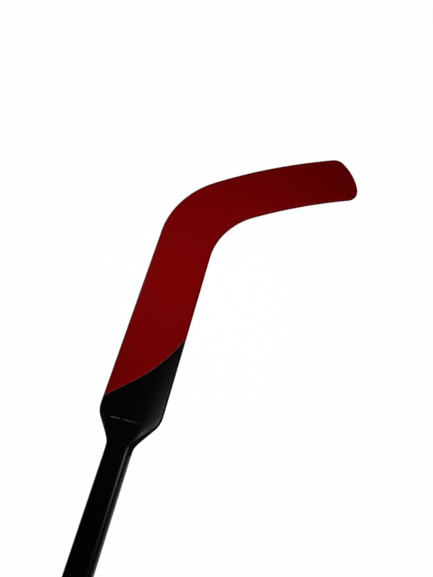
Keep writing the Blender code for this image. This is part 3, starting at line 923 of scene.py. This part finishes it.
class STICK_OT_stripe(bpy.types.Operator):
    """Model the narrow stripe that is let in along the colour break"""

    bl_idname = "goalie_stick.stripe"
    bl_label = "Stripe"

    def execute(self, context):
        stick = Stick(context.scene.stick_sizes)
        half = stick.sizes.stripe_width / 2
        ribs = [stick.slanted(past, 0.0, 0.0) for past in (-half, 0.0, half)]
        stripe = model_shell("break_stripe", stick, ribs)
        ink = ink_and_glint_paint("stripe_ink", context.scene.stick_colours.stripe)
        hand_over(stripe, ink, "stripe_paint", "front_pinstripe", "back_pinstripe")
        return {"FINISHED"}


class STICK_OT_blade(bpy.types.Operator):
    """Model the red shell of the paddle, the heel and the blade"""

    bl_idname = "goalie_stick.blade"
    bl_label = "Paddle and blade"

    def execute(self, context):
        stick = Stick(context.scene.stick_sizes)
        past = stick.sizes.stripe_width / 2 + stick.sizes.joint
        rows = 18
        ribs = [stick.slanted(past, stick.sizes.straight_end, step / rows) for step in range(rows)]
        ribs += stick.ribs[stick.paddle : stick.tip]
        ribs += stick.toe_end()
        shell = model_shell("blade_shell", stick, ribs, closed_end=True)
        red = lacquer(
            "red_lacquer",
            context.scene.stick_colours.red,
            roughness=0.42,
            cloudiness=0.05,
            peel=0.000012,
            Specular_IOR_Level=0.04,
        )
        hand_over(
            shell,
            red,
            "red_paint",
            "front_blade_skin",
            "back_blade_skin",
            "leading_red_strip",
            "trailing_red_strip",
            "toe_block",
        )
        return {"FINISHED"}


class STICK_OT_shoulder_line(bpy.types.Operator):
    """Lay the fine broken line on the front of the shoulder: a light grey painted glint where the shaft's ridge
    ends
    """

    bl_idname = "goalie_stick.shoulder_line"
    bl_label = "Shoulder line"

    start: FloatProperty(
        name="Start", description="Trailing end of the line", default=-0.0215, **LENGTH
    )
    end: FloatProperty(
        name="End", description="Leading end of the line", default=0.0205, **LENGTH
    )
    level: FloatProperty(
        name="Level", description="Where the line lies along the stick", default=0.0600, **LENGTH
    )
    width: FloatProperty(
        name="Width", description="Width of the line at its trailing end", default=0.0005, **LENGTH
    )
    ink: FloatProperty(
        name="Ink", description="Thickness of the ink", default=0.00004, **LENGTH
    )
    taper: FloatProperty(
        name="Taper", description="Share of the width lost towards the leading end", default=0.70
    )

    # Where each dash starts and ends, as shares of the line.
    DASHES = ((0.0, 0.13), (0.15, 0.33), (0.42, 0.48), (0.51, 0.66), (0.68, 0.8), (0.86, 0.9), (0.96, 1.0))
    DROP_HEIGHT = 0.001

    def execute(self, context):
        line = new_piece("shoulder_line")
        for first, last in self.DASHES:
            start = mix(self.start, self.end, first)
            end = mix(self.start, self.end, last)
            centre = Vector(((start + end) / 2, self.level, SHAFT_HIGH.z + self.DROP_HEIGHT))
            bpy.ops.mesh.select_all(action="DESELECT")
            bpy.ops.mesh.primitive_plane_add(size=1.0, location=centre)
            width = self.width * (1 - self.taper * first * first)
            bpy.ops.transform.resize(value=(end - start, width, 1.0), center_override=centre)
            bpy.ops.mesh.subdivide(number_cuts=5)
        bpy.ops.object.mode_set(mode="OBJECT")
        laid = line.modifiers.new("laid_on_shoulder", "SHRINKWRAP")
        laid.target = bpy.data.objects["shoulder_shell"]
        laid.wrap_method = "PROJECT"
        laid.use_project_z = True
        laid.use_negative_direction = True
        laid.offset = self.ink / 2
        thick = line.modifiers.new("ink", "SOLIDIFY")
        thick.thickness = self.ink
        thick.offset = 0.0
        apply_modifiers(line)
        # The light grey laid here is a painted glint where the shaft's ridge ends on the shoulder.
        ink = ink_and_glint_paint("line_ink", context.scene.stick_colours.line)
        hand_over(line, ink, "stripe_paint")
        return {"FINISHED"}


class STICK_OT_cores(bpy.types.Operator):
    """Finish the wood and the foam inside the laminate"""

    bl_idname = "goalie_stick.cores"
    bl_label = "Cores"

    def execute(self, context):
        colours = context.scene.stick_colours
        spruce = timber("planed_spruce", colours.spruce)
        birch = timber("planed_birch", colours.birch)
        foam = rigid_foam("closed_cell_foam", colours.foam)
        finishes = {
            "paddle_spar": spruce,
            "blade_spar": spruce,
            "heel_block": birch,
            "shaft_foam": foam,
            "leading_paddle_core": foam,
            "trailing_paddle_core": foam,
            "upper_blade_core": foam,
            "lower_blade_core": foam,
        }
        for name, material in finishes.items():
            paint(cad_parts[name], material)
        return {"FINISHED"}


class STICK_OT_studio(bpy.types.Operator):
    """Set the pale floor, the soft lamps and the camera"""

    bl_idname = "goalie_stick.studio"
    bl_label = "Studio"

    # Each lamp's place, the point that it faces, its spread in degrees and whether gloss shows it.
    LAMPS = {
        "toe_side": ((0.235, 0.033, 0.204), (0.03, 0.06, 0.01), 120, True),
        "overhead": ((-0.05, 0.285, 0.50), (-0.05, 0.285, 0.0), 150, False),
        "near_side": ((0.32, -0.22, 0.30), (0.12, 0.41, 0.01), 40, True),
        "far_side": ((-0.50, 0.50, 0.30), (0.0, 0.1, 0.0), 180, True),
    }
    LAMP_SIDE = 0.12

    FLOOR_SIDE = 30.0
    FLOOR_LEVEL = -0.0002

    # The sides of each dark card on the floor: left, right, near and far.
    CARDS = ((-0.8, 0.9, 0.02, 1.0), (0.0185, 0.9, -0.9, 0.02))
    CARD_LEVEL = -0.0001
    CARD_TONE = (0.03, 0.03, 0.03, 1.0)

    # Solved from the edges of the stick in the photograph.
    CAMERA_PLACE = (0.24524, 0.00917, 0.57542)
    CAMERA_RIGHT = (0.95106, 0.24557, -0.18758)
    CAMERA_UP = (-0.14066, 0.88451, 0.44482)

    def execute(self, context):
        settings = context.scene.studio_settings
        self.add_floor(settings)
        self.add_cards()
        self.add_world(context, settings)
        for name, (place, target, spread, shown) in self.LAMPS.items():
            lamp = self.add_softbox(name + "_softbox", place, target)
            lamp.data.energy = getattr(settings, name)
            lamp.data.spread = math.radians(spread)
            lamp.visible_glossy = shown
        self.add_camera(context, settings)
        context.scene.view_settings.view_transform = "Standard"
        return {"FINISHED"}

    @staticmethod
    def rays(tree, *kinds):
        """A value that is 1 for rays of those kinds and 0 for all others."""
        light = node(tree, "ShaderNodeLightPath")
        seen = light.outputs[kinds[0]]
        for kind in kinds[1:]:
            either = node(tree, "ShaderNodeMath", operation="MAXIMUM")
            tree.links.new(seen, either.inputs[0])
            tree.links.new(light.outputs[kind], either.inputs[1])
            seen = either.outputs[0]
        return seen

    @staticmethod
    def blend_shaders(tree, share, first, second, output):
        """Show a share of the second shader over the first one."""
        blend = node(tree, "ShaderNodeMixShader")
        tree.links.new(share, blend.inputs[0])
        tree.links.new(first.outputs[0], blend.inputs[1])
        tree.links.new(second.outputs[0], blend.inputs[2])
        tree.links.new(blend.outputs[0], tree.nodes[output].inputs["Surface"])

    def add_floor(self, settings):
        """A wide pale floor that glows white for the eye, so that shadows on it stay faint."""
        bpy.ops.object.select_all(action="DESELECT")
        centre = (0.0, 0.0, self.FLOOR_LEVEL)
        bpy.ops.mesh.primitive_plane_add(size=self.FLOOR_SIDE, location=centre)
        floor = bpy.context.object
        floor.name = "studio_floor"
        material, tree, shader, _ = new_finish("floor_paint", 0.9, Specular_IOR_Level=0.0)
        shader.inputs["Base Color"].default_value = (*settings.floor, 1.0)
        glow = node(tree, "ShaderNodeEmission", in_Color=WHITE, in_Strength=1.0)
        share = node(tree, "ShaderNodeMath", operation="MULTIPLY", in_1=settings.floor_glow)
        seen = self.rays(tree, "Is Camera Ray", "Is Glossy Ray", "Is Transmission Ray")
        tree.links.new(seen, share.inputs[0])
        self.blend_shaders(tree, share.outputs[0], shader, glow, "Material Output")
        paint(floor, material)

    def add_cards(self):
        """Dark cards on the floor that only gloss sees, so that the lacquered edges stay dark."""
        flag = new_piece("gloss_flag")
        for left, right, near, far in self.CARDS:
            centre = Vector(((left + right) / 2, (near + far) / 2, self.CARD_LEVEL))
            bpy.ops.mesh.select_all(action="DESELECT")
            bpy.ops.mesh.primitive_plane_add(size=1.0, location=centre)
            bpy.ops.transform.resize(value=(right - left, far - near, 1.0), center_override=centre)
        bpy.ops.object.mode_set(mode="OBJECT")
        material, _, shader, _ = new_finish("flag_cloth", 1.0, Specular_IOR_Level=0.0)
        shader.inputs["Base Color"].default_value = self.CARD_TONE
        paint(flag, material)
        flag.visible_camera = False
        flag.visible_diffuse = False
        flag.visible_transmission = False
        flag.visible_volume_scatter = False
        flag.visible_shadow = False

    def add_world(self, context, settings):
        """A room that is white to the camera and dim to everything else."""
        world = bpy.data.worlds.new("studio_room")
        context.scene.world = world
        world.use_nodes = True
        tree = world.node_tree
        room = tree.nodes["Background"]
        room.inputs["Color"].default_value = WHITE
        room.inputs["Strength"].default_value = settings.world
        white = node(tree, "ShaderNodeBackground", in_Color=WHITE, in_Strength=1.0)
        seen = self.rays(tree, "Is Camera Ray", "Is Transmission Ray")
        self.blend_shaders(tree, seen, room, white, "World Output")

    def add_softbox(self, name, place, target):
        """A square lamp that faces a point."""
        lamp = bpy.data.lights.new(name, "AREA")
        lamp.size = self.LAMP_SIDE
        box = bpy.data.objects.new(name, lamp)
        box.location = place
        box.rotation_euler = (Vector(target) - Vector(place)).to_track_quat("-Z", "Y").to_euler()
        bpy.context.scene.collection.objects.link(box)
        return box

    def add_camera(self, context, settings):
        """The photograph's viewpoint, above the toe side of the shoulder."""
        lens = bpy.data.cameras.new("photo_camera")
        lens.sensor_fit = "VERTICAL"
        lens.sensor_height = 36.0
        lens.lens = settings.lens
        lens.clip_start = 0.01
        lens.clip_end = 50.0
        camera = bpy.data.objects.new("photo_camera", lens)
        right = Vector(self.CAMERA_RIGHT)
        up = Vector(self.CAMERA_UP)
        turned = Matrix((right, up, right.cross(up))).transposed()
        camera.matrix_world = Matrix.Translation(self.CAMERA_PLACE) @ turned.to_4x4()
        context.scene.collection.objects.link(camera)
        context.scene.camera = camera


class STICK_PT_panel(bpy.types.Panel):
    """The steps that build the stick, in order"""

    bl_label = "Goalie Stick"
    bl_idname = "STICK_PT_panel"
    bl_space_type = "VIEW_3D"
    bl_region_type = "UI"
    bl_category = "Goalie Stick"

    def draw(self, context):
        column = self.layout.column(align=True)
        for operator in STEPS:
            column.operator(operator.bl_idname)
        for group in (context.scene.stick_colours, context.scene.studio_settings):
            box = self.layout.box()
            for name in group.bl_rna.properties.keys():
                if name not in {"rna_type", "name"}:
                    box.prop(group, name)


STEPS = (
    STICK_OT_shaft,
    STICK_OT_butt_cap,
    STICK_OT_shoulder,
    STICK_OT_stripe,
    STICK_OT_blade,
    STICK_OT_shoulder_line,
    STICK_OT_cores,
    STICK_OT_studio,
)
CLASSES = (StickSizes, StickColours, StudioSettings, *STEPS, STICK_PT_panel)


def register():
    """Register the classes and hang the settings on the scene."""
    for cls in CLASSES:
        bpy.utils.register_class(cls)
    bpy.types.Scene.stick_sizes = PointerProperty(type=StickSizes)
    bpy.types.Scene.stick_colours = PointerProperty(type=StickColours)
    bpy.types.Scene.studio_settings = PointerProperty(type=StudioSettings)


def unregister():
    """Take the settings and the classes away."""
    del bpy.types.Scene.stick_sizes
    del bpy.types.Scene.stick_colours
    del bpy.types.Scene.studio_settings
    for cls in reversed(CLASSES):
        bpy.utils.unregister_class(cls)


def main():
    """Build the stick and its studio."""
    register()
    bpy.ops.goalie_stick.shaft()
    bpy.ops.goalie_stick.butt_cap()
    bpy.ops.goalie_stick.shoulder()
    bpy.ops.goalie_stick.stripe()
    bpy.ops.goalie_stick.blade()
    bpy.ops.goalie_stick.shoulder_line()
    bpy.ops.goalie_stick.cores()
    bpy.ops.goalie_stick.studio()


if __name__ == "__main__":
    main()
